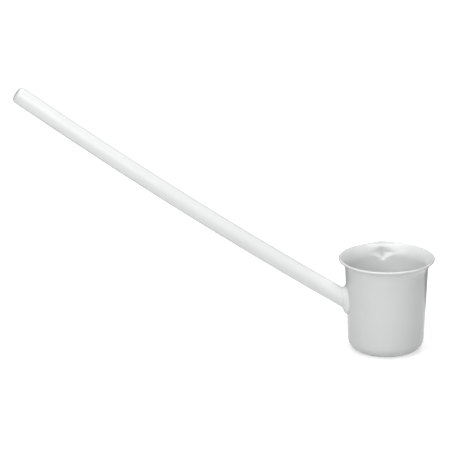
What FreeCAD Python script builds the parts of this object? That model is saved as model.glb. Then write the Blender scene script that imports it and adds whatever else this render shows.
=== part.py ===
import FreeCAD, Part
import math
import os

import Sketcher
from FreeCAD import Placement, Rotation, Vector

# Water dipper of white polypropylene: a moulded beaker with a flared lip and a pouring spout,
# hot-gas welded to a long, slightly bowed pipe whose far end is plugged.
# The origin is the centre of the foot, Z runs up the beaker's axis, the handle runs
# towards -X and the spout points towards +Y.

# Lengths in millimetres and angles in degrees.
dimensions = {
    # Beaker
    "cup_height": 120.0,
    "base_radius": 46.9,        # where the outer wall's line meets the floor plane
    "cup_taper": 2.7,           # lean of the wall from upright
    "wall": 3.0,
    "floor_thickness": 4.0,
    "corner_radius": 15.0,
    "inner_corner_radius": 12.0,
    "foot_recess": 1.2,
    "foot_ring_width": 6.0,
    # Flared lip, in section: the wall turns outwards round an arc and ends in a full round
    "flare_radius": 17.8,       # of the outer, lower side
    "flare_angle": 56.0,        # from upright, where the round begins
    # Pouring spout, drawn out of the flare
    "spout_reach": 5.8,
    "spout_tip_radius": 9.0,
    "spout_below_flare": 2.0,
    # Pipe handle
    "pipe_radius": 11.0,
    "pipe_wall": 2.0,
    "pipe_length": 489.0,
    "pipe_rise": 31.55,         # slope at its root, just inside the beaker's wall
    "pipe_bow": 5.2,            # sag of the pipe's middle below a straight line
    "pipe_height": 65.2,        # where the pipe's axis meets the wall
    "pipe_straight_end": 60.0,  # stretch at the far end that is free of the bow, for a hook or a clip
    # Weld bead between pipe and beaker
    "weld_root_gap": 0.2,
    "weld_fit": 0.05,
    "weld_run": 5.5,            # out from the wall
    "weld_leg": 8.0,            # up and down the wall
    "weld_side_leg": 7.0,       # round the wall
    "weld_toe": 0.4,
    "weld_sag": 1.0,            # how far the middle of the bead slumped before it set
    # Plug in the pipe's far end
    "plug_band": 0.5,           # straight part of its head, below the rounded edge
    "plug_edge_radius": 5.5,
    "plug_depth": 14.0,
    "plug_wall": 2.0,
    "plug_clearance": 0.1,
    "plug_lead_in": 1.0,
}

# Rings through which the lip band is skinned: their places, as shares of each stretch,
# and the number of points round each one.
straight_shares = (0.0, 0.5)
flare_shares = (0.0, 0.33, 0.67)
round_shares = (0.2, 0.4, 0.6, 0.8)
ring_points = 120

# The spout's reach grows from its foot to the lip as this power of the height.
spout_rise_share = 1.25

# Where the weld bead bulges, as a share of its run, and how far, as a share of its legs.
weld_middle_share = 0.45
weld_bulge_share = 0.66

doc = FreeCAD.newDocument("water_dipper")
sheet = doc.addObject("Spreadsheet::Sheet", "sizes")
for row, (alias, number) in enumerate(dimensions.items(), start=1):
    sheet.set(f"A{row}", alias.replace("_", " "))
    sheet.set(f"B{row}", str(number))
    sheet.setAlias(f"B{row}", alias)
doc.recompute()

# Formulas on the sheet's sizes that several sub-parts share.
lip_rise = "(sizes.wall / 2 * (1 + sin(sizes.flare_angle)))"
flare_rise = "(sizes.flare_radius * (sin(sizes.flare_angle) - sin(sizes.cup_taper)))"
flare_height = f"(sizes.cup_height - {lip_rise} - {flare_rise})"
join_height = f"({flare_height} - 2 * sizes.spout_below_flare)"
wall_across = "(sizes.wall / cos(sizes.cup_taper))"
root_radius = "(sizes.base_radius + sizes.pipe_height * tan(sizes.cup_taper))"
overrun = "(1.5 * sizes.pipe_radius)"
start_x = f"({overrun} * cos(sizes.pipe_rise) - {root_radius})"
start_z = f"(sizes.pipe_height - {overrun} * sin(sizes.pipe_rise))"
bow_radius = "((sizes.pipe_length^2 + 4 * sizes.pipe_bow^2) / (8 * sizes.pipe_bow))"
bow_turn = f"((sizes.pipe_length + {overrun} - sizes.pipe_straight_end) / {bow_radius} * 180 / pi)"
end_rise = f"(sizes.pipe_rise + {bow_turn})"
bow_end_x = f"({start_x} + {bow_radius} * (sin(sizes.pipe_rise) - sin({end_rise})))"
bow_end_z = f"({start_z} + {bow_radius} * (cos(sizes.pipe_rise) - cos({end_rise})))"
end_x = f"({bow_end_x} - sizes.pipe_straight_end * cos({end_rise}))"
end_z = f"({bow_end_z} + sizes.pipe_straight_end * sin({end_rise}))"
chord_rise = f"(sizes.pipe_rise + ({overrun} + sizes.weld_run) / {bow_radius} / 2 * 180 / pi)"
spigot_radius = "(sizes.pipe_radius - sizes.pipe_wall - sizes.plug_clearance)"


def value_of(formula):
    return float(sheet.evalExpression(formula))


def size(alias):
    return float(sheet.get(alias))


# Sketches

def new_body(label):
    return doc.addObject("PartDesign::Body", label)


def new_sketch(body, role, name):
    sketch = body.newObject("Sketcher::SketchObject", name)
    plane = next(item for item in body.Origin.OriginFeatures if item.Role == role)
    sketch.AttachmentSupport = [(plane, "")]
    sketch.MapMode = "FlatFace"
    return sketch


def bind(sketch, name, kind, *place, formula):
    # Adds a dimension to the sketch and ties it to a formula, in degrees for an angle.
    number = value_of(formula)
    unit = " * 1 mm"
    if kind == "Angle":
        number = math.radians(number)
        unit = " * 1 deg"
    index = sketch.addConstraint(Sketcher.Constraint(kind, *place, number))
    sketch.renameConstraint(index, name)
    sketch.setExpression(f"Constraints.{name}", f"({formula}){unit}")


def constrain(sketch, *constraints):
    for kind, *place in constraints:
        sketch.addConstraint(Sketcher.Constraint(kind, *place))


def line(start, finish):
    return Part.LineSegment(Vector(*start, 0), Vector(*finish, 0))


def arc(centre, radius, first_angle, last_angle):
    circle = Part.Circle(Vector(*centre, 0), Vector(0, 0, 1), radius)
    return Part.ArcOfCircle(circle, math.radians(first_angle), math.radians(last_angle))


def draw_chain(sketch, curves, backwards=(), smooth=()):
    # Joins the curves end to end in a closed chain. Those listed as backwards run clockwise,
    # and those listed as smooth run on into the next one without a corner.
    ends = []
    for index, curve in enumerate(curves):
        sketch.addGeometry(curve, False)
        ends.append((index, 2, 1) if index in backwards else (index, 1, 2))
    for (here, _, last), (following, first, _) in zip(ends, ends[1:] + ends[:1]):
        kind = "Tangent" if here in smooth else "Coincident"
        sketch.addConstraint(Sketcher.Constraint(kind, here, last, following, first))


# Beaker: the pot up to just below the flare is a revolved profile.

def build_pot():
    body = new_body("pot")
    sketch = new_sketch(body, "XZ_Plane", "pot_profile")
    taper = size("cup_taper")
    lean = math.tan(math.radians(taper))
    across = value_of(wall_across)
    top = value_of(join_height)
    outer_top = size("base_radius") + top * lean
    corner = size("corner_radius")
    inner_corner = size("inner_corner_radius")
    floor = size("floor_thickness")
    cosine, sine = math.cos(math.radians(taper)), math.sin(math.radians(taper))

    # Centres of the two corner arcs, one radius inside the walls' lines.
    corner_x = size("base_radius") + corner * lean - corner / cosine
    inner_x = size("base_radius") - across + (floor + inner_corner) * lean - inner_corner / cosine
    ring_x = corner_x - size("foot_ring_width")
    recess = size("foot_recess")
    corner_end = (corner_x + corner * cosine, corner - corner * sine)
    inner_start = (inner_x + inner_corner * cosine, floor + inner_corner - inner_corner * sine)

    curves = [
        line((0, recess), (ring_x, recess)),
        line((ring_x, recess), (ring_x, 0)),
        line((ring_x, 0), (corner_x, 0)),
        arc((corner_x, corner), corner, -90, -taper),
        line(corner_end, (outer_top, top)),
        line((outer_top, top), (outer_top - across, top)),
        line((outer_top - across, top), inner_start),
        arc((inner_x, floor + inner_corner), inner_corner, -90, -taper),
        line((inner_x, floor), (0, floor)),
        line((0, floor), (0, recess)),
    ]
    under, step, ring, outer_arc, outer_wall, rim, inner_wall, inner_arc, inside, axis = range(10)
    draw_chain(sketch, curves, backwards=(inner_arc,), smooth=(ring, outer_arc, inner_wall, inner_arc))
    constrain(
        sketch,
        ("Horizontal", under), ("Vertical", step), ("Horizontal", rim), ("Horizontal", inside),
        ("PointOnObject", ring, 1, -1), ("PointOnObject", ring, 2, -1),
        ("PointOnObject", axis, 1, -2), ("PointOnObject", axis, 2, -2),
        ("Parallel", outer_wall, inner_wall),
    )
    bind(sketch, "recess", "DistanceY", -1, 1, under, 1, formula="sizes.foot_recess")
    bind(sketch, "ring_width", "DistanceX", ring, 1, ring, 2, formula="sizes.foot_ring_width")
    bind(sketch, "corner", "Radius", outer_arc, formula="sizes.corner_radius")
    bind(sketch, "inner_corner", "Radius", inner_arc, formula="sizes.inner_corner_radius")
    bind(sketch, "floor", "DistanceY", -1, 1, inside, 2, formula="sizes.floor_thickness")
    bind(sketch, "top", "DistanceY", -1, 1, rim, 1, formula=join_height)
    bind(sketch, "outer_top", "DistanceX", -1, 1, rim, 1,
         formula=f"sizes.base_radius + {join_height} * tan(sizes.cup_taper)")
    bind(sketch, "across", "DistanceX", rim, 2, rim, 1, formula=wall_across)
    bind(sketch, "upright", "Angle", -1, 1, outer_wall, 1, formula="90 - sizes.cup_taper")

    pot = body.newObject("PartDesign::Revolution", "pot_turned")
    pot.Profile = sketch
    pot.ReferenceAxis = (sketch, ["V_Axis"])
    pot.Angle = 360
    return body


# Lip band: the flare, its edge and the spout, skinned through closed rings. The skins of the flare
# and of its inside are smooth, and narrow straight strips take the edge round.

def band_stations():
    # Radius, height and spout share of each ring: up the outside, over the lip, down the inside.
    wall = size("wall")
    taper = math.radians(size("cup_taper"))
    turn = math.radians(size("flare_angle"))
    flare = size("flare_radius")
    start = value_of(flare_height)
    join = value_of(join_height)
    across = value_of(wall_across)
    start_radius = size("base_radius") + start * math.tan(taper)
    centre = (start_radius + flare * math.cos(taper), start - flare * math.sin(taper))
    middle = flare + wall / 2
    lip = (centre[0] - middle * math.cos(turn), centre[1] + middle * math.sin(turn))
    foot = start - size("spout_below_flare")

    def spout_share(height):
        return max(0.0, min(1.0, (height - foot) / (lip[1] - foot))) ** spout_rise_share

    def straight(share, inwards):
        height = join + (start - join) * share
        radius = start_radius - (start - height) * math.tan(taper) - inwards
        return radius, height, spout_share(height)

    def flared(share, reach):
        angle = taper + (turn - taper) * share
        height = centre[1] + middle * math.sin(angle)
        return (centre[0] - reach * math.cos(angle), centre[1] + reach * math.sin(angle),
                spout_share(height))

    def rounded(share):
        angle = math.pi * share - turn
        return lip[0] + wall / 2 * math.cos(angle), lip[1] + wall / 2 * math.sin(angle), 1.0

    outside = [straight(share, 0) for share in straight_shares]
    outside += [flared(share, flare) for share in flare_shares]
    edge = [rounded(share) for share in (0, *round_shares, 1)]
    inside = [flared(share, flare + wall) for share in reversed(flare_shares)]
    inside += [straight(share, across) for share in reversed(straight_shares)]
    return outside, edge, inside


def ring_radius(angle, radius, reach):
    # A circle with two tangents drawn out to a rounded tip at angle zero.
    if reach <= 0:
        return radius
    tip = radius + reach
    slope = math.acos(radius / tip)
    soft = math.tan(slope) / (tip / size("spout_tip_radius") - 1)
    away = slope + soft - math.hypot(angle, soft)
    return radius / math.cos(max(0.0, away))


def ring(radius, height, share):
    # Closed curve round the beaker, begun a quarter turn from the spout, away from the pipe.
    reach = size("spout_reach") * share
    angles = [2 * math.pi * (step / ring_points - 0.75) for step in range(ring_points + 1)]
    points = []
    for angle in angles[:-1]:
        out = ring_radius(math.remainder(angle, 2 * math.pi), radius, reach)
        points.append(Vector(out * math.sin(angle), out * math.cos(angle), height))
    curve = Part.BSplineCurve()
    curve.interpolate(Points=points, PeriodicFlag=True, Parameters=angles)
    return Part.Wire(curve.toShape())


def build_lip_band():
    outside, edge, inside = [[ring(*station) for station in stretch] for stretch in band_stations()]
    flare = Part.makeLoft(outside + edge[:1], False, False, False, 3)
    lip = Part.makeLoft(edge, False, True)
    lining = Part.makeLoft(edge[-1:] + inside, False, False, False, 3)
    seat = Part.makeFace([outside[0], inside[-1]], "Part::FaceMakerBullseye")
    shell = Part.makeShell(flare.Faces + lip.Faces + lining.Faces + [seat])
    shell.sewShape()
    solid = Part.makeSolid(shell)
    if solid.Volume < 0:
        solid.reverse()
    band = doc.addObject("Part::Feature", "lip_band")
    band.Shape = solid
    return band


def build_cup():
    cup = doc.addObject("Part::Fuse", "cup")
    cup.Base = build_pot()
    cup.Tool = build_lip_band()
    cup.Refine = False
    return cup


# Handle: two round profiles swept along one path, which is bowed as far as the straight stretch
# at its end. The beaker's wall shapes the near end.

def place(item, x_formula, z_formula, tilt_formula):
    # Puts an item in the handle's plane, tilted from upright towards the pipe's far end.
    tilt = value_of(tilt_formula)
    item.Placement = Placement(Vector(0, 0, 0), Rotation(Vector(0, -1, 0), tilt))
    item.setExpression("Placement.Base.x", f"{x_formula} * 1 mm")
    item.setExpression("Placement.Base.z", f"{z_formula} * 1 mm")
    item.setExpression("Placement.Rotation.Angle", f"{tilt_formula} * 1 deg")


def new_circle(body, name, radius_formula):
    sketch = new_sketch(body, "XY_Plane", name)
    sketch.addGeometry(Part.Circle(Vector(0, 0, 0), Vector(0, 0, 1), value_of(radius_formula)), False)
    constrain(sketch, ("Coincident", 0, 3, -1, 1))
    bind(sketch, "round", "Radius", 0, formula=radius_formula)
    return sketch


def wall_cone(name, gap_formula):
    # The space inside the beaker's outer wall, with a gap round it.
    cone = doc.addObject("Part::Cone", name)
    cone.setExpression("Radius1", f"(sizes.base_radius + {gap_formula}) * 1 mm")
    cone.setExpression(
        "Radius2", f"(sizes.base_radius + {gap_formula} + sizes.cup_height * tan(sizes.cup_taper)) * 1 mm")
    cone.setExpression("Height", "sizes.cup_height * 1 mm")
    return cone


def cut(label, base, tool):
    result = doc.addObject("Part::Cut", label)
    result.Base = base
    result.Tool = tool
    return result


def build_handle_tube():
    # The body's own Z runs up the pipe from inside the beaker, and its X points to the hollow
    # side of the bow.
    body = new_body("pipe")
    path = new_sketch(body, "XZ_Plane", "pipe_path")
    radius = value_of(bow_radius)
    turn = math.radians(value_of(bow_turn))
    straight = size("pipe_straight_end")
    bow_end = (radius - radius * math.cos(turn), radius * math.sin(turn))
    tip = (bow_end[0] + straight * math.sin(turn), bow_end[1] + straight * math.cos(turn))
    path.addGeometry(arc((radius, 0), radius, 180 - value_of(bow_turn), 180), False)
    path.addGeometry(line(bow_end, tip), False)
    constrain(path, ("Coincident", 0, 2, -1, 1), ("PointOnObject", 0, 3, -1), ("Tangent", 0, 1, 1, 1))
    bind(path, "bow", "Radius", 0, formula=bow_radius)
    bind(path, "reach", "DistanceY", -1, 1, 0, 1, formula=f"{bow_radius} * sin({bow_turn})")
    bind(path, "straight_end", "Distance", 1, formula="sizes.pipe_straight_end")

    outside = body.newObject("PartDesign::AdditivePipe", "pipe_outside")
    outside.Profile = new_circle(body, "pipe_round", "sizes.pipe_radius")
    outside.Spine = (path, ["Edge1", "Edge2"])
    bore = body.newObject("PartDesign::SubtractivePipe", "pipe_bore")
    bore.Profile = new_circle(body, "bore_round", "sizes.pipe_radius - sizes.pipe_wall")
    bore.Spine = (path, ["Edge1", "Edge2"])
    place(body, start_x, start_z, "(90 - sizes.pipe_rise)")
    return cut("handle_tube", body, wall_cone("wall_at_pipe", "sizes.weld_root_gap"))


# Weld bead: upright ellipses from the pipe to the wall, skinned with straight runs between them
# and cut by both.

def bead_section(name, out_formula, leg_formula, side_leg_formula, drop_formula="0"):
    section = doc.addObject("Part::Ellipse", name)
    section.Placement = Placement(Vector(0, 0, 0), Rotation(Vector(0, -1, 0), 90))
    section.setExpression("MajorRadius", f"(sizes.pipe_radius / cos(sizes.pipe_rise) + {leg_formula}) * 1 mm")
    section.setExpression("MinorRadius", f"(sizes.pipe_radius + {side_leg_formula}) * 1 mm")
    section.setExpression("Placement.Base.x", f"-({root_radius} + {out_formula}) * 1 mm")
    rise = f"max({out_formula}; 0) * tan(sizes.pipe_rise)"
    section.setExpression("Placement.Base.z", f"(sizes.pipe_height + {rise} - {drop_formula}) * 1 mm")
    return section


def build_weld_bead():
    bulge = f"{weld_bulge_share} * sizes."
    middle = f"{weld_middle_share} * sizes.weld_run"
    skin = doc.addObject("Part::Loft", "bead_skin")
    skin.Sections = [
        bead_section("bead_at_pipe", "sizes.weld_run", "sizes.weld_toe", "sizes.weld_toe"),
        bead_section("bead_middle", middle, bulge + "weld_leg", bulge + "weld_side_leg", "sizes.weld_sag"),
        bead_section("bead_at_wall", "0", "sizes.weld_leg", "sizes.weld_side_leg"),
        bead_section("bead_in_wall", "-sizes.weld_side_leg", "sizes.weld_leg", "sizes.weld_side_leg"),
    ]
    skin.Solid = True
    skin.Ruled = True
    # The pipe bows so little over the bead's length that a straight rod along its chord cuts it.
    rod = doc.addObject("Part::Cylinder", "pipe_at_bead")
    rod.setExpression("Radius", "(sizes.pipe_radius + sizes.weld_fit) * 1 mm")
    rod.setExpression("Height", f"({overrun} + 4 * sizes.weld_run) * 1 mm")
    place(rod, start_x, start_z, f"(90 - {chord_rise})")
    outside_wall = cut("bead_on_wall", skin, wall_cone("wall_at_bead", "sizes.weld_fit"))
    return cut("weld_bead", outside_wall, rod)


# Plug: a turned head flush with the pipe, with a hollow spigot in its bore.

def build_end_plug():
    body = new_body("end_plug")
    sketch = new_sketch(body, "XZ_Plane", "plug_profile")
    head = size("pipe_radius")
    band = size("plug_band")
    edge = size("plug_edge_radius")
    spigot = value_of(spigot_radius)
    hollow = spigot - size("plug_wall")
    deep = -size("plug_depth")
    lead = size("plug_lead_in")
    curves = [
        line((0, band + edge), (head - edge, band + edge)),
        arc((head - edge, band), edge, 0, 90),
        line((head, band), (head, 0)),
        line((head, 0), (spigot, 0)),
        line((spigot, 0), (spigot, deep + lead)),
        line((spigot, deep + lead), (spigot - lead, deep)),
        line((spigot - lead, deep), (hollow, deep)),
        line((hollow, deep), (hollow, 0)),
        line((hollow, 0), (0, 0)),
        line((0, 0), (0, band + edge)),
    ]
    face, rounded, side, seat, fit, slant, tip, inside, web, axis = range(10)
    draw_chain(sketch, curves, backwards=(rounded,), smooth=(face, rounded))
    constrain(
        sketch,
        ("Horizontal", face), ("Vertical", side), ("Horizontal", seat), ("Vertical", fit),
        ("Horizontal", tip), ("Vertical", inside), ("PointOnObject", seat, 1, -1),
        ("Coincident", axis, 1, -1, 1), ("PointOnObject", web, 1, -1), ("PointOnObject", axis, 2, -2),
    )
    bind(sketch, "head", "DistanceX", -1, 1, side, 1, formula="sizes.pipe_radius")
    bind(sketch, "band", "DistanceY", side, 2, side, 1, formula="sizes.plug_band")
    bind(sketch, "edge", "Radius", rounded, formula="sizes.plug_edge_radius")
    bind(sketch, "spigot", "DistanceX", -1, 1, fit, 1, formula=spigot_radius)
    bind(sketch, "hollow", "DistanceX", -1, 1, inside, 1, formula=f"{spigot_radius} - sizes.plug_wall")
    bind(sketch, "depth", "DistanceY", tip, 1, -1, 1, formula="sizes.plug_depth")
    bind(sketch, "lead_in", "DistanceX", slant, 2, slant, 1, formula="sizes.plug_lead_in")
    bind(sketch, "lead_rise", "DistanceY", slant, 2, slant, 1, formula="sizes.plug_lead_in")

    turned = body.newObject("PartDesign::Revolution", "plug_turned")
    turned.Profile = sketch
    turned.ReferenceAxis = (sketch, ["V_Axis"])
    turned.Angle = 360
    place(body, end_x, end_z, f"(90 - {end_rise})")
    return body


def check_and_write(sub_parts):
    doc.recompute()
    for item in doc.Objects:
        if "Invalid" in item.State or "Error" in item.State:
            raise RuntimeError(f"{item.Label} did not build: {item.State}")
    for item in sub_parts:
        if item.Shape.isNull() or not item.Shape.isValid() or len(item.Shape.Solids) != 1:
            raise RuntimeError(f"{item.Label} is not one valid solid")
    os.makedirs("parts", exist_ok=True)
    for item in sub_parts:
        item.Shape.exportStep(os.path.join("parts", item.Label + ".step"))
        print(f"{item.Label}: {item.Shape.Volume / 1000:.1f} cm3")


check_and_write([build_cup(), build_handle_tube(), build_weld_bead(), build_end_plug()])
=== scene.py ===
import bmesh
import bpy
import math
from mathutils import Matrix, Vector, noise


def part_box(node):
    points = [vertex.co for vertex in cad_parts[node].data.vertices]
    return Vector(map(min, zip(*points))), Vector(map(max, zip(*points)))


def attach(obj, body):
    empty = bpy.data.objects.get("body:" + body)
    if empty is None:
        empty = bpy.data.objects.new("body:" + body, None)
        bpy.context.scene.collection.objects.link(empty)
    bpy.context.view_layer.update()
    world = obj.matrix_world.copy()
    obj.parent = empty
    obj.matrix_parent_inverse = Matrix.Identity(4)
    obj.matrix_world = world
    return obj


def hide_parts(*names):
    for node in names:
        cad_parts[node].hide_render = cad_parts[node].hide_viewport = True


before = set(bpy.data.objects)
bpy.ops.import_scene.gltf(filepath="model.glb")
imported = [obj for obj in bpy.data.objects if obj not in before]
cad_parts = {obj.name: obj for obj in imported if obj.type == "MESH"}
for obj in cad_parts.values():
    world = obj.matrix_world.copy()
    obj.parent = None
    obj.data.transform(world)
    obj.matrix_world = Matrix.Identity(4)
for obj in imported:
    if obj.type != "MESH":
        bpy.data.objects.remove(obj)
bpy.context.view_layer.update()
print("Frame loaded:", ", ".join(sorted(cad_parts)))

mm = 0.001
mergeDistance = 0.002 * mm       # points that are closer than this become one
crispAngle = math.radians(40)    # edges that bend more than this stay crisp in the shading


# Helpers for meshes

def meshObject(bm, name, material):
    mesh = bpy.data.meshes.new(name)
    bm.to_mesh(mesh)
    bm.free()
    mesh.materials.append(material)
    piece = bpy.data.objects.new(name, mesh)
    bpy.context.scene.collection.objects.link(piece)
    return piece


def makePiece(bm, name, material, replaced):
    # Turns a finished bmesh into a smooth piece that stands for a CAD node
    bmesh.ops.remove_doubles(bm, verts=bm.verts, dist=mergeDistance)
    bmesh.ops.recalc_face_normals(bm, faces=bm.faces)
    piece = meshObject(bm, name, material)
    for face in piece.data.polygons:
        face.use_smooth = True
    piece.data.set_sharp_from_angle(angle=crispAngle)
    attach(piece, "root")
    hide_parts(replaced)
    print(name, "has", len(piece.data.polygons), "faces")


def onlyVerts(items):
    # The points among what an operator gives back
    return [item for item in items if isinstance(item, bmesh.types.BMVert)]


def penLine(bm, pen, radius, height, steps=1):
    # Draws a straight stretch of a section in the XZ plane, from the pen to a new place
    start = pen.co.copy()
    for step in range(1, steps + 1):
        pen = onlyVerts(bmesh.ops.extrude_vert_indiv(bm, verts=[pen])["verts"])[0]
        pen.co = start.lerp(Vector((radius, 0, height)), step / steps)
    return pen


def penArc(bm, pen, centre, degrees, steps):
    # Draws an arc round a centre; positive degrees turn from X towards Z
    drawn = bmesh.ops.spin(bm, geom=[pen], cent=(centre[0], 0, centre[1]), axis=(0, -1, 0),
                           angle=math.radians(degrees), steps=steps, use_merge=False)
    return onlyVerts(drawn["geom_last"])[0]


def turnSection(bm, steps):
    # Spins the drawn section right round Z
    bmesh.ops.spin(bm, geom=bm.verts[:] + bm.edges[:], cent=(0, 0, 0), axis=(0, 0, 1),
                   angle=2 * math.pi, steps=steps, use_merge=True)


def loopEdges(verts):
    # Edges that run between the given points
    chosen = set(verts)
    return [edge for edge in {edge for vert in verts for edge in vert.link_edges}
            if edge.verts[0] in chosen and edge.verts[1] in chosen]


def extrudeLoop(bm, verts):
    # Pulls a new loop out of one; it still lies where the old one is
    return onlyVerts(bmesh.ops.extrude_edge_only(bm, edges=loopEdges(verts))["geom"])


# Helpers for materials

def linear(hexColour):
    # sRGB hex to the linear colour that a socket takes
    channels = [int(hexColour[place:place + 2], 16) / 255 for place in (1, 3, 5)]
    return [c / 12.92 if c <= 0.04045 else ((c + 0.055) / 1.055) ** 2.4 for c in channels] + [1.0]


def addNode(tree, kind, inputs=None, **settings):
    # Adds one node; each input is a value or a socket, and inputs are named or numbered
    node = tree.nodes.new("ShaderNode" + kind)
    for name, value in settings.items():
        setattr(node, name, value)
    for name, value in (inputs or {}).items():
        if isinstance(value, bpy.types.NodeSocket):
            tree.links.new(value, node.inputs[name])
        else:
            node.inputs[name].default_value = value
    return node


def newMaterial(name):
    material = bpy.data.materials.new(name)
    material.use_nodes = True
    material.node_tree.nodes.clear()
    return material, material.node_tree


def noiseScale(sizeInMm):
    # A noise texture's scale for a pattern of this size
    return 1 / (sizeInMm * mm)


def polypropylene(name, look, stretch=(1.0, 1.0, 1.0), tilt=(0.0, 0.0, 0.0)):
    # White polypropylene: faint clouds in the colour, patches in the sheen, a fine grain in the skin.
    # The grain can be stretched along one direction, as on extruded pipe. The Mix node's inputs 6 and 7
    # are its two colours, and the patches use the span from 0.1 to 0.9, which their noise hardly leaves.
    material, tree = newMaterial(name)
    place = addNode(tree, "TexCoord").outputs["Object"]
    cloud = addNode(tree, "TexNoise", {"Vector": place, "Scale": noiseScale(look["cloudSize"]),
                                       "Detail": 3.0, "Roughness": 0.55})
    colour = addNode(tree, "Mix", {"Factor": cloud.outputs["Fac"], 6: linear(look["white"]),
                                   7: linear(look["cloud"])}, data_type="RGBA")
    patches = addNode(tree, "TexNoise", {"Vector": place, "Scale": noiseScale(look["patchSize"]),
                                         "Detail": 5.0, "Roughness": 0.6})
    sheen = addNode(tree, "MapRange", {"Value": patches.outputs["Fac"], "From Min": 0.1, "From Max": 0.9,
                                       "To Min": look["roughness"][0], "To Max": look["roughness"][1]})
    along = addNode(tree, "Mapping", {"Vector": place, "Rotation": tilt})
    grainPlace = addNode(tree, "Mapping", {"Vector": along.outputs["Vector"], "Scale": stretch})
    grain = addNode(tree, "TexNoise", {"Vector": grainPlace.outputs["Vector"],
                                       "Scale": noiseScale(look["grainSize"]), "Detail": 2.0})
    skin = addNode(tree, "Bump", {"Height": grain.outputs["Fac"], "Strength": 1.0,
                                  "Distance": look["grainDepth"] * mm})
    shader = addNode(tree, "BsdfPrincipled", {
        "Base Color": colour.outputs[2], "Roughness": sheen.outputs["Result"], "IOR": look["ior"],
        "Normal": skin.outputs["Normal"], "Subsurface Weight": look["milkiness"],
        "Subsurface Radius": (1.0, 1.0, 1.0), "Subsurface Scale": look["milkDepth"] * mm})
    addNode(tree, "OutputMaterial", {"Surface": shader.outputs["BSDF"]})
    return material


# Cup: one moulding, turned from its section, then the spout is drawn out of the flare

cupForm = {
    "wall": 3.0 * mm,
    "floorThickness": 4.0 * mm,
    "taper": math.radians(2.7),
    "cornerRadius": 15.0 * mm,
    "innerCornerRadius": 12.0 * mm,
    "footRecess": 1.2 * mm,
    "footRingWidth": 6.0 * mm,
    "footEdgeRound": 0.5 * mm,
    "flareRadius": 17.8 * mm,
    "flareAngle": math.radians(56.0),
    "spoutTipRadius": 5.0 * mm,
    "spoutFoot": 101.2 * mm,       # where its hollow starts, inside
    "spoutBack": 55.4 * mm,        # radius at which its back stands upright
    "ledgeShare": 0.13,            # how far up from its foot to the lip that is, inside
    "bulgeFoot": 88.0 * mm,        # outside it swells from here, over the next height
    "bulgeHeight": 17.0 * mm,
    "spoutSpread": math.radians(48),   # how fast it widens towards the lip, inside
    "beakPower": (24.0, 2.0),      # how suddenly the lip runs out into a beak, inside and outside
    "leastReachShare": 0.0001,     # a point that is drawn out less than this stays where it is
    "gateRadius": 2.2 * mm,        # where the plastic was fed into the mould, under the floor
    "gateHeight": 0.35 * mm,
    "turnSteps": 360,              # right round, and the rest along the section
    "recessSteps": 8,
    "footSteps": 4,
    "cornerSteps": 16,
    "wallSteps": 60,
    "flareSteps": 30,
    "lipSteps": 12,
    "innerWallSteps": 22,
    "innerCornerSteps": 14,
    "floorSteps": 10,
}

# Injection-moulded: a soft sheen from a fine spark-eroded mould, a little milky, faint flow clouds
mouldedLook = {
    "white": "#E0E1E1",
    "cloud": "#DADBDB",
    "cloudSize": 28.0,       # sizes and depths in mm
    "patchSize": 9.0,
    "grainSize": 0.9,        # the mould's grit is finer; this is as fine as shows
    "grainDepth": 0.012,
    "roughness": (0.20, 0.26),
    "ior": 1.49,
    "milkiness": 0.12,
    "milkDepth": 3.0,
}


def cupLevels(form):
    # Works the flare's centre, the lip's centre and the wall's slant line out of the frame's box.
    # Each place is a radius and a height, and middle is the flare's radius amid the wall's thickness.
    low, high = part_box("cup")
    wall, taper, flareAngle = form["wall"], form["taper"], form["flareAngle"]
    middle = form["flareRadius"] + wall / 2
    lip = Vector((high.x - wall / 2, high.z - wall / 2))
    centre = lip + middle * Vector((math.cos(flareAngle), -math.sin(flareAngle)))
    start = centre + form["flareRadius"] * Vector((-math.cos(taper), math.sin(taper)))
    return {
        "lip": lip, "centre": centre, "start": start, "middle": middle,
        "baseRadius": start.x - start.y * math.tan(taper),
        "spoutReach": high.y - high.x,
    }


def drawCupSection(bm, form, levels):
    # From under the floor's middle, out to the foot, up to the lip and back down inside
    wall, taper = form["wall"], form["taper"]
    lean, cosine, sine = math.tan(taper), math.cos(taper), math.sin(taper)
    corner, inner = form["cornerRadius"], form["innerCornerRadius"]
    floorTop, recess, edge = form["floorThickness"], form["footRecess"], form["footEdgeRound"]
    base, start, centre, lip = (levels[key] for key in ("baseRadius", "start", "centre", "lip"))
    flareTurn = math.degrees(form["flareAngle"] - taper)
    cornerTurn = 90 - math.degrees(taper)
    cornerX = base + corner * lean - corner / cosine
    innerX = base - wall / cosine + (floorTop + inner) * lean - inner / cosine
    ringX = cornerX - form["footRingWidth"]
    gate, gateHeight = form["gateRadius"], form["gateHeight"]

    pen = bm.verts.new((0, 0, recess - gateHeight))
    pen = penLine(bm, pen, gate - gateHeight, recess - gateHeight, 2)
    pen = penLine(bm, pen, gate, recess)
    pen = penLine(bm, pen, ringX - edge, recess, form["recessSteps"])
    pen = penArc(bm, pen, (ringX - edge, recess - edge), -90, form["footSteps"])
    pen = penLine(bm, pen, ringX, edge)
    pen = penArc(bm, pen, (ringX + edge, edge), 90, form["footSteps"])
    pen = penLine(bm, pen, cornerX, 0, 2)
    pen = penArc(bm, pen, (cornerX, corner), cornerTurn, form["cornerSteps"])
    pen = penLine(bm, pen, start.x, start.y, form["wallSteps"])
    pen = penArc(bm, pen, centre, -flareTurn, form["flareSteps"])
    pen = penArc(bm, pen, lip, 180, form["lipSteps"])
    pen = penArc(bm, pen, centre, flareTurn, form["flareSteps"])
    innerWallFoot = (innerX + inner * cosine, floorTop + inner * (1 - sine))
    pen = penLine(bm, pen, *innerWallFoot, form["innerWallSteps"])
    pen = penArc(bm, pen, (innerX, floorTop + inner), -cornerTurn, form["innerCornerSteps"])
    penLine(bm, pen, 0, floorTop, form["floorSteps"])


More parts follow.
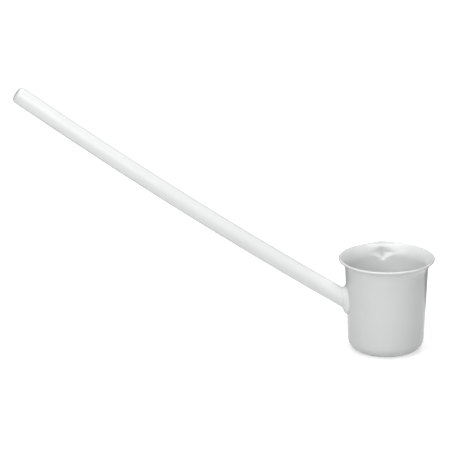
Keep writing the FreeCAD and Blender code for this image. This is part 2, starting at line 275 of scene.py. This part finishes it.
def softStep(share):
    # Rises from 0 to 1 without a bend at either end
    share = min(max(share, 0.0), 1.0)
    return share * share * (3 - 2 * share)


def spoutShape(radius, height, form, levels):
    # How far up the spout a point is, whether it is outside, and how far the spout draws the wall's
    # middle line out there: inside over a ledge and outside in a swelling to an upright back, then
    # out again into a beak at the lip
    centre, lip, middle, foot = levels["centre"], levels["lip"], levels["middle"], form["spoutFoot"]
    angle = min(math.atan2(height - centre.y, centre.x - radius), form["flareAngle"])
    share = max(0.0, (centre.y + middle * math.sin(angle) - foot) / (lip.y - foot))
    flared = centre.x - middle * math.cos(angle)
    outside = math.hypot(height - centre.y, centre.x - radius) < middle
    if angle < form["taper"]:
        flared = levels["baseRadius"] + height * math.tan(form["taper"]) - form["wall"] / 2
        outside = radius > flared
    rise = (height - form["bulgeFoot"]) / form["bulgeHeight"] if outside else share / form["ledgeShare"]
    back = softStep(rise) * max(0.0, form["spoutBack"] - flared)
    return share, outside, back + levels["spoutReach"] * share ** form["beakPower"][outside]


def drawOutSpout(bm, form, levels):
    # Two tangents to each circle meet in a rounded tip at +Y; inside they close in to a V low down
    for vert in bm.verts:
        radius = math.hypot(vert.co.x, vert.co.y)
        if vert.co.z < form["bulgeFoot"]:
            continue
        share, outside, reach = spoutShape(radius, vert.co.z, form, levels)
        if reach <= radius * form["leastReachShare"]:
            continue
        tip = radius + reach
        slope = math.acos(radius / tip)
        narrow = 1.0 if outside else max(1.0, slope / (form["spoutSpread"] * share))
        soft = math.tan(slope) / (tip / form["spoutTipRadius"] - 1)
        away = slope + soft - math.hypot(math.atan2(vert.co.x, vert.co.y) * narrow, soft)
        grown = 1 / math.cos(max(0.0, away))
        vert.co.x *= grown
        vert.co.y *= grown


def makeCup():
    levels = cupLevels(cupForm)
    bm = bmesh.new()
    drawCupSection(bm, cupForm, levels)
    turnSection(bm, cupForm["turnSteps"])
    drawOutSpout(bm, cupForm, levels)
    material = polypropylene("injection moulded polypropylene", mouldedLook)
    makePiece(bm, "cup_moulding", material, "cup")
    return levels


# Handle: a pipe that follows one long bow and then runs straight to its end

pipeForm = {
    "radius": 11.0 * mm,
    "boreRadius": 9.0 * mm,
    "length": 489.0 * mm,
    "rise": math.radians(31.55),     # slope just inside the cup's wall
    "bow": 5.2 * mm,
    "wallHeight": 65.2 * mm,         # where its axis meets the wall
    "straightEnd": 60.0 * mm,
    "rootGap": 0.2 * mm,
    "overrunShare": 1.5,             # the path starts this many radii inside the wall
    "clearShare": 2.0,               # the pipe is whole, past the wall's slant, this many further on
    "sides": 96,
    "bowSteps": 90,
    "straightSteps": 12,
}

# Extruded: a little glossier than the moulding, with fine lines from the die that run along the pipe
pipeLook = {
    "white": "#EBECEC",
    "cloud": "#E7E8E8",
    "cloudSize": 40.0,       # sizes and depths in mm
    "patchSize": 14.0,
    "grainSize": 0.8,        # spacing of the die lines, as fine as shows
    "grainDepth": 0.010,
    "grainStretch": 0.01,    # the lines run a hundred times as far as they are apart
    "roughness": (0.19, 0.25),
    "ior": 1.49,
    "milkiness": 0.12,
    "milkDepth": 3.0,
}


def pipePath(form, levels):
    # Places and directions along the pipe's axis, from inside the cup to its far end
    rise, straight = form["rise"], form["straightEnd"]
    overrun = form["overrunShare"] * form["radius"]
    root = levels["baseRadius"] + form["wallHeight"] * math.tan(cupForm["taper"])
    start = Vector((overrun * math.cos(rise) - root, 0, form["wallHeight"] - overrun * math.sin(rise)))
    bowRadius = (form["length"] ** 2 + 4 * form["bow"] ** 2) / (8 * form["bow"])
    bowLength = form["length"] + overrun - straight
    bowCentre = start + bowRadius * Vector((math.sin(rise), 0, math.cos(rise)))

    def at(along):
        angle = rise + min(along, bowLength) / bowRadius
        way = Vector((-math.cos(angle), 0, math.sin(angle)))
        place = bowCentre - bowRadius * Vector((math.sin(angle), 0, math.cos(angle)))
        return place + way * max(0.0, along - bowLength), way

    return {"at": at, "start": start, "overrun": overrun, "bowRadius": bowRadius, "root": root,
            "bowLength": bowLength, "bowCentre": bowCentre, "end": bowLength + straight}


def slideToWall(point, way, levels, gap):
    # Moves a point along a direction until it meets the cup's outer wall
    lean = math.tan(cupForm["taper"])
    wallRadius = levels["baseRadius"] + gap + lean * point.z
    a = way.x ** 2 + way.y ** 2 - (lean * way.z) ** 2
    b = point.x * way.x + point.y * way.y - lean * way.z * wallRadius
    c = point.x ** 2 + point.y ** 2 - wallRadius ** 2
    return point + way * ((-b - math.sqrt(b * b - a * c)) / a)


def standOnPath(bm, verts, place, way):
    # Turns what was drawn round Z to lie along the path, at a place on it
    tilt = Vector((0, 0, 1)).rotation_difference(way).to_matrix()
    bmesh.ops.rotate(bm, verts=verts, cent=(0, 0, 0), matrix=tilt)
    bmesh.ops.translate(bm, verts=verts, vec=place)


def sweepPipe(bm, radius, form, levels, path):
    # One tube along the path; gives the loops at its two ends
    first = path["overrun"] + form["clearShare"] * form["radius"]
    place, way = path["at"](first)
    ring = bmesh.ops.create_circle(bm, cap_ends=False, segments=form["sides"], radius=radius)["verts"]
    standOnPath(bm, ring, place, way)
    near = extrudeLoop(bm, ring)
    for vert in near:
        vert.co = slideToWall(vert.co, -way, levels, form["rootGap"])
    swept = bmesh.ops.spin(bm, geom=ring + loopEdges(ring), cent=path["bowCentre"], axis=(0, 1, 0),
                           angle=(path["bowLength"] - first) / path["bowRadius"],
                           steps=form["bowSteps"], use_merge=False)
    tip = onlyVerts(swept["geom_last"])
    onward = path["at"](path["bowLength"])[1] * form["straightEnd"] / form["straightSteps"]
    for step in range(form["straightSteps"]):
        tip = extrudeLoop(bm, tip)
        bmesh.ops.translate(bm, verts=tip, vec=onward)
    return near, tip


def makePipe(levels):
    # Skin and bore are swept apart and joined at both ends; the die lines follow the middle's slope
    form = pipeForm
    path = pipePath(form, levels)
    bm = bmesh.new()
    nearOut, tipOut = sweepPipe(bm, form["radius"], form, levels, path)
    nearIn, tipIn = sweepPipe(bm, form["boreRadius"], form, levels, path)
    bmesh.ops.bridge_loops(bm, edges=loopEdges(nearOut) + loopEdges(nearIn))
    bmesh.ops.bridge_loops(bm, edges=loopEdges(tipOut) + loopEdges(tipIn))
    middleWay = path["at"](path["end"] / 2)[1]
    material = polypropylene("extruded polypropylene", pipeLook, (pipeLook["grainStretch"], 1.0, 1.0),
                             (0.0, -math.atan2(middleWay.z, -middleWay.x), 0.0))
    makePiece(bm, "handle_pipe", material, "handle_tube")
    return path


# Plug: a turned head flush with the pipe, its hollow spigot inside the bore

plugForm = {
    "band": 0.5 * mm,
    "edgeRadius": 5.5 * mm,
    "depth": 14.0 * mm,           # of the spigot, from the pipe's end
    "wall": 2.0 * mm,
    "clearance": 0.1 * mm,
    "leadIn": 1.0 * mm,
    "seamRound": 0.03 * mm,       # broken edge at the joint with the pipe, barely seen
    "gateRadius": 1.4 * mm,       # dimple where the plug was fed, in the middle of its face
    "gateDepth": 0.25 * mm,
    "turnSteps": 96,
    "faceSteps": 4,
    "edgeSteps": 14,
    "spigotSteps": 3,
}

# Injection-moulded like the cup, nearly as white as the pipe so that the joint hardly shows; its white
# sits a little below the pipe's as painted shade, which keeps the overhead light on its rounded edge
# from burning out
plugLookWithPaintedShade = dict(mouldedLook, white="#E6E7E7", cloud="#E2E3E3", roughness=(0.19, 0.25))


def makePlug(path):
    # Drawn upright with the pipe's end at height 0, then stood on the end of the path
    form = plugForm
    head, seam, deep = pipeForm["radius"], form["seamRound"], -form["depth"]
    spigot = pipeForm["boreRadius"] - form["clearance"]
    hollow = spigot - form["wall"]
    top = form["band"] + form["edgeRadius"]
    bm = bmesh.new()
    pen = bm.verts.new((0, 0, top - form["gateDepth"]))
    pen = penLine(bm, pen, form["gateRadius"] - form["gateDepth"], top - form["gateDepth"], 2)
    pen = penLine(bm, pen, form["gateRadius"], top)
    pen = penLine(bm, pen, head - form["edgeRadius"], top, form["faceSteps"])
    pen = penArc(bm, pen, (head - form["edgeRadius"], form["band"]), -90, form["edgeSteps"])
    pen = penLine(bm, pen, head, seam)
    pen = penArc(bm, pen, (head - seam, seam), -90, 3)
    pen = penLine(bm, pen, spigot, 0)
    pen = penLine(bm, pen, spigot, deep + form["leadIn"], form["spigotSteps"])
    pen = penLine(bm, pen, spigot - form["leadIn"], deep)
    pen = penLine(bm, pen, hollow, deep)
    pen = penLine(bm, pen, hollow, 0, form["spigotSteps"])
    penLine(bm, pen, 0, 0, form["spigotSteps"])
    turnSection(bm, form["turnSteps"])
    standOnPath(bm, bm.verts[:], *path["at"](path["end"]))
    # The plug's white carries painted shade: it is a little darker than the pipe's so that its lit edge
    # does not burn out
    material = polypropylene("injection moulded polypropylene, white with painted shade", plugLookWithPaintedShade)
    makePiece(bm, "end_plug_moulding", material, "end_plug")


# Weld bead: a ring of filler between pipe and wall, with the ripples that welding by hand leaves

beadForm = {
    "run": 5.5 * mm,              # out from the wall
    "legAbove": 8.4 * mm,         # up the wall, where it is a hollow fillet
    "legBelow": 6.0 * mm,         # down the wall, where it hangs in a full roll
    "sideLeg": 4.6 * mm,
    "toe": 0.06 * mm,
    "sag": 0.6 * mm,
    "fit": 0.05 * mm,
    "fullness": (0.5, 2.4),       # power of the bulge from wall to pipe, above and below
    "ripplePitch": 2.6 * mm,
    "rippleHeight": 0.10 * mm,
    "unevenness": 0.25 * mm,      # slow swelling and thinning along the bead
    "swellings": 2.2,             # the larger, the more of them on the way round
    "proudPower": 0.7,            # the smaller, the nearer ripples and swellings start to its edges
    "stepBack": 1.0 * mm,         # a point backs this far off the wall before it slides onto it
    "sides": 240,
    "skinRows": 14,
    "wallRows": 4,
}

# Hot-gas welded: the melt set without a mould, so it is glossier than the pieces that it joins
weldLook = {
    "white": "#E9EAEA",
    "cloud": "#E4E5E5",
    "cloudSize": 6.0,        # sizes and depths in mm
    "patchSize": 4.0,
    "grainSize": 1.2,
    "grainDepth": 0.020,
    "roughness": (0.14, 0.26),
    "ior": 1.49,
    "milkiness": 0.12,
    "milkDepth": 3.0,
}


def onPipe(point, path, gap):
    # The nearest point of the pipe's surface
    along = (point - path["start"]).dot(path["at"](0)[1])
    place, way = path["at"](along)
    outwards = point - place - way * (point - place).dot(way)
    return place + outwards.normalized() * (pipeForm["radius"] + gap), way


def beadSkin(form, levels, path, angle, share):
    # A point on the bead's skin: share 0 is at the wall and 1 at the pipe
    below = (1 - math.cos(angle)) / 2
    hollow, full = form["fullness"]
    kept = 1 - share ** (hollow + below * (full - hollow))
    leg = form["legAbove"] + below * (form["legBelow"] - form["legAbove"])
    arch = math.sin(math.pi * share)
    ripples = round(math.pi * (pipeForm["radius"] + form["sideLeg"] / 2) / form["ripplePitch"])
    ripple = abs(math.sin(ripples * angle + arch))
    around = form["swellings"] * Vector((math.cos(angle), math.sin(angle)))
    drift = noise.noise(Vector((around.x, around.y, share)))
    proud = arch ** form["proudPower"] * (form["rippleHeight"] * ripple + form["unevenness"] * drift)
    tall = pipeForm["radius"] / math.cos(pipeForm["rise"])
    tall += form["toe"] + kept * (leg - form["toe"]) + proud
    wide = pipeForm["radius"] + form["toe"] + kept * (form["sideLeg"] - form["toe"]) + proud
    middle = pipeForm["wallHeight"] + form["run"] * share * math.tan(pipeForm["rise"])
    end = Vector((-path["root"] - form["run"], wide * math.sin(angle),
                  middle - form["sag"] * arch * below + tall * math.cos(angle)))
    return slideToWall(end, Vector((1, 0, 0)), levels, form["fit"]).lerp(end, share)


def makeBead(levels, path):
    # A band turned from an upright line, one point a row, whose points then go to their places
    form = beadForm
    skinRows, wallRows = form["skinRows"], form["wallRows"]
    bm = bmesh.new()
    penLine(bm, bm.verts.new((1, 0, 0)), 1, skinRows + wallRows, skinRows + wallRows)
    turnSection(bm, form["sides"])
    ends = [edge for edge in bm.edges if edge.is_boundary]
    bmesh.ops.bridge_loops(bm, edges=ends)
    for vert in bm.verts:
        angle = math.atan2(vert.co.y, vert.co.x)
        row = round(vert.co.z)
        if row <= skinRows:
            vert.co = beadSkin(form, levels, path, angle, row / skinRows)
            continue
        toe, way = onPipe(beadSkin(form, levels, path, angle, 1.0), path, form["fit"])
        vert.co = toe
        if row > skinRows + 1:
            # Down the pipe to the wall, then along the wall towards the bead's own edge
            corner = slideToWall(toe, -way, levels, form["fit"])
            spread = (row - skinRows - 2) / (wallRows - 1)
            flat = corner.lerp(beadSkin(form, levels, path, angle, 0.0), spread)
            flat.x -= form["stepBack"]
            vert.co = slideToWall(flat, Vector((1, 0, 0)), levels, form["fit"])
    material = polypropylene("hot gas welded polypropylene", weldLook)
    makePiece(bm, "weld_bead_ring", material, "weld_bead")


cupLevelsUsed = makeCup()
pipeRoute = makePipe(cupLevelsUsed)
makePlug(pipeRoute)
makeBead(cupLevelsUsed, pipeRoute)


# Studio: a table that is seen as white, a large soft light overhead, weak ones behind and at the left,
# and a fill at the front

studio = {
    "floorSize": 12.0,
    "floorColour": "#CCCCCC",    # grey, so that it throws little light up at the undersides
    "floorGlow": (0.58, 1.0),    # makes up what the floor lacks to white, only for what sees it directly
    "glowFrom": (0.15, 0.9),     # metres from the cup over which the glow rises
    "ambient": 0.02,
    "card": {"colour": "#7A7A7A", "middle": 0.02, "behind": 0.13, "width": 1.12, "height": 0.9},
    "lights": (
        # name, place, aimed at, width and height in metres, power in watts
        ("overhead softbox", (-0.05, 0.0, 3.00), (-0.05, 0.0, 0.12), 2.8, 2.3, 75.0),
        ("back softbox", (-0.10, 1.0, 1.50), (-0.10, 0.0, 0.12), 1.6, 0.9, 4.5),
        ("left softbox", (-1.20, -1.10, 1.10), (-0.10, 0.0, 0.12), 1.0, 1.0, 8.5),
        ("front fill", (0.0, -1.80, 0.90), (-0.10, 0.0, 0.12), 1.2, 0.9, 16.0),
    ),
}

shot = {
    "azimuth": math.radians(-3.7),
    "elevation": math.radians(18.35),
    "distance": 6.0,
    "frameWidth": 0.56565,       # what the picture spans at the object
    "aimRight": -0.2020,         # where it looks, from the origin, in the picture's own directions
    "aimUp": 0.1542,
    "sensorWidth": 36.0,         # millimetres
    "clipEnd": 50.0,
}


def seenDirectly(tree):
    # 1 for what the camera sees, also through reflections, and 0 for what lights the object
    path = addNode(tree, "LightPath")
    glossy = addNode(tree, "Math", {0: path.outputs["Is Camera Ray"], 1: path.outputs["Is Glossy Ray"]},
                     operation="MAXIMUM")
    return addNode(tree, "Math", {0: glossy.outputs[0], 1: path.outputs["Is Transmission Ray"]},
                   operation="MAXIMUM").outputs[0]


def makeFloor():
    # A matt table; what lights the object sees its plain colour, without the glow
    material, tree = newMaterial("white table")
    table = addNode(tree, "BsdfDiffuse", {"Color": linear(studio["floorColour"])})
    place = addNode(tree, "TexCoord").outputs["Object"]
    away = addNode(tree, "VectorMath", {0: place}, operation="LENGTH")
    near, far = studio["glowFrom"]
    low, high = studio["floorGlow"]
    rise = addNode(tree, "MapRange", {"Value": away.outputs["Value"], "From Min": near, "From Max": far,
                                      "To Min": low, "To Max": high}, interpolation_type="SMOOTHSTEP")
    glow = addNode(tree, "Emission", {"Color": (1, 1, 1, 1), "Strength": rise.outputs["Result"]})
    lit = addNode(tree, "AddShader", {0: table.outputs[0], 1: glow.outputs[0]})
    mixed = addNode(tree, "MixShader", {0: seenDirectly(tree), 1: table.outputs[0], 2: lit.outputs[0]})
    addNode(tree, "OutputMaterial", {"Surface": mixed.outputs[0]})
    bm = bmesh.new()
    bmesh.ops.create_grid(bm, x_segments=1, y_segments=1, size=studio["floorSize"] / 2)
    floor = meshObject(bm, "floor", material)


def makeCard():
    # A grey card behind the object, which only its gloss sees: it gives the white edges their outline
    card = studio["card"]
    material, tree = newMaterial("grey card")
    grey = addNode(tree, "Emission", {"Color": linear(card["colour"]), "Strength": 1.0})
    addNode(tree, "OutputMaterial", {"Surface": grey.outputs[0]})
    bm = bmesh.new()
    bmesh.ops.create_grid(bm, x_segments=1, y_segments=1, size=0.5)    # one metre by one
    bmesh.ops.scale(bm, verts=bm.verts, vec=(card["width"], card["height"], 1))
    bmesh.ops.rotate(bm, verts=bm.verts, cent=(0, 0, 0), matrix=Matrix.Rotation(math.pi / 2, 3, "X"))
    bmesh.ops.translate(bm, verts=bm.verts, vec=(card["middle"], card["behind"], card["height"] / 2))
    piece = meshObject(bm, "grey_card", material)
    piece.visible_camera = piece.visible_diffuse = piece.visible_shadow = False
    piece.visible_transmission = piece.visible_volume_scatter = False


def makeWorld():
    # White where it is seen, and a trace of light from all round
    world = bpy.data.worlds.new("studio")
    world.use_nodes = True
    tree = world.node_tree
    tree.nodes.clear()
    soft = addNode(tree, "Background", {"Color": (1, 1, 1, 1), "Strength": studio["ambient"]})
    white = addNode(tree, "Background", {"Color": (1, 1, 1, 1), "Strength": 1.0})
    mixed = addNode(tree, "MixShader", {0: seenDirectly(tree), 1: soft.outputs[0], 2: white.outputs[0]})
    addNode(tree, "OutputWorld", {"Surface": mixed.outputs[0]})
    bpy.context.scene.world = world


def makeLights():
    for name, place, target, width, height, power in studio["lights"]:
        light = bpy.data.lights.new(name, "AREA")
        light.shape = "RECTANGLE"
        light.size, light.size_y = width, height
        light.energy = power
        lamp = bpy.data.objects.new(name, light)
        lamp.location = place
        lamp.rotation_euler = (Vector(place) - Vector(target)).to_track_quat("Z", "Y").to_euler()
        bpy.context.scene.collection.objects.link(lamp)


def makeCamera():
    turned, raised = shot["azimuth"], shot["elevation"]
    right = Vector((math.cos(turned), math.sin(turned), 0))
    back = Vector((math.sin(turned) * math.cos(raised), -math.cos(turned) * math.cos(raised),
                   math.sin(raised)))
    up = back.cross(right)
    lens = bpy.data.cameras.new("camera")
    lens.sensor_width = shot["sensorWidth"]
    lens.lens = lens.sensor_width * shot["distance"] / shot["frameWidth"]
    lens.clip_end = shot["clipEnd"]
    camera = bpy.data.objects.new("camera", lens)
    camera.matrix_world = Matrix((right, up, back)).transposed().to_4x4()
    camera.location = right * shot["aimRight"] + up * shot["aimUp"] + back * shot["distance"]
    bpy.context.scene.collection.objects.link(camera)
    bpy.context.scene.camera = camera


makeFloor()
makeCard()
makeWorld()
makeLights()
makeCamera()
bpy.context.scene.view_settings.view_transform = "Standard"
print("Studio ready")
